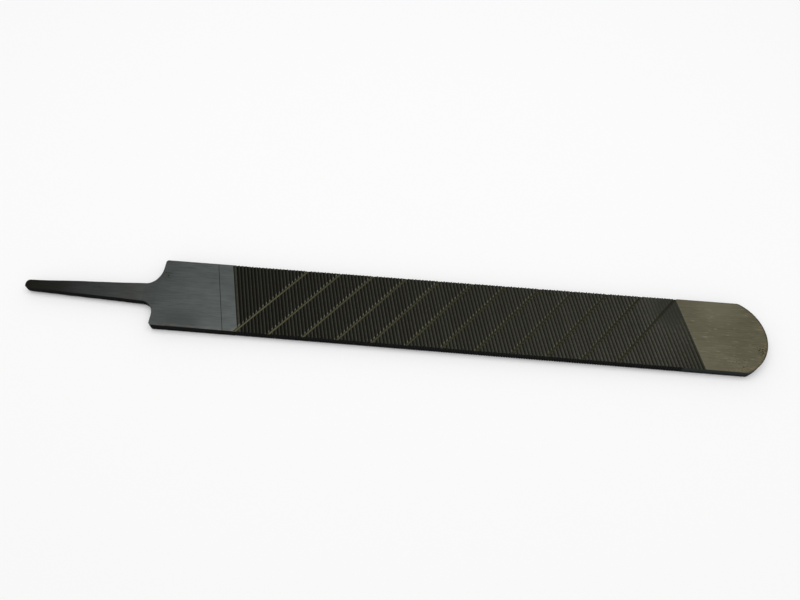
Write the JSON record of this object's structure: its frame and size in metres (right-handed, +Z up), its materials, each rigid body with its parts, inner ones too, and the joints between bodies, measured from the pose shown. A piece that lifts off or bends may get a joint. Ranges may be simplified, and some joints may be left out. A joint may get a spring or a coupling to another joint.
{
  "type": "hoof rasp",
  "caption": "Flat steel hoof rasp with a grooved file side, a coarse raised-tooth side, toothed edges, a smooth heel, a round point and a bare tapered tang.",
  "frame": {"origin": "centre of the bounding box in plan, at the height of the rasp-side tooth tips that it rests on", "axes": "+X along the bar from the tang to the round point, +Y across the bar, +Z up through the file side"},
  "size_m": [0.4362, 0.0444, 0.0064],
  "materials": {
    "rasp_steel": "ground and brushed carbon tool steel, dark hardening film on the teeth, forging scale on the tang"
  },
  "bodies": {
    "root": {"rasp": "rasp_steel"}
  },
  "joints": []
}
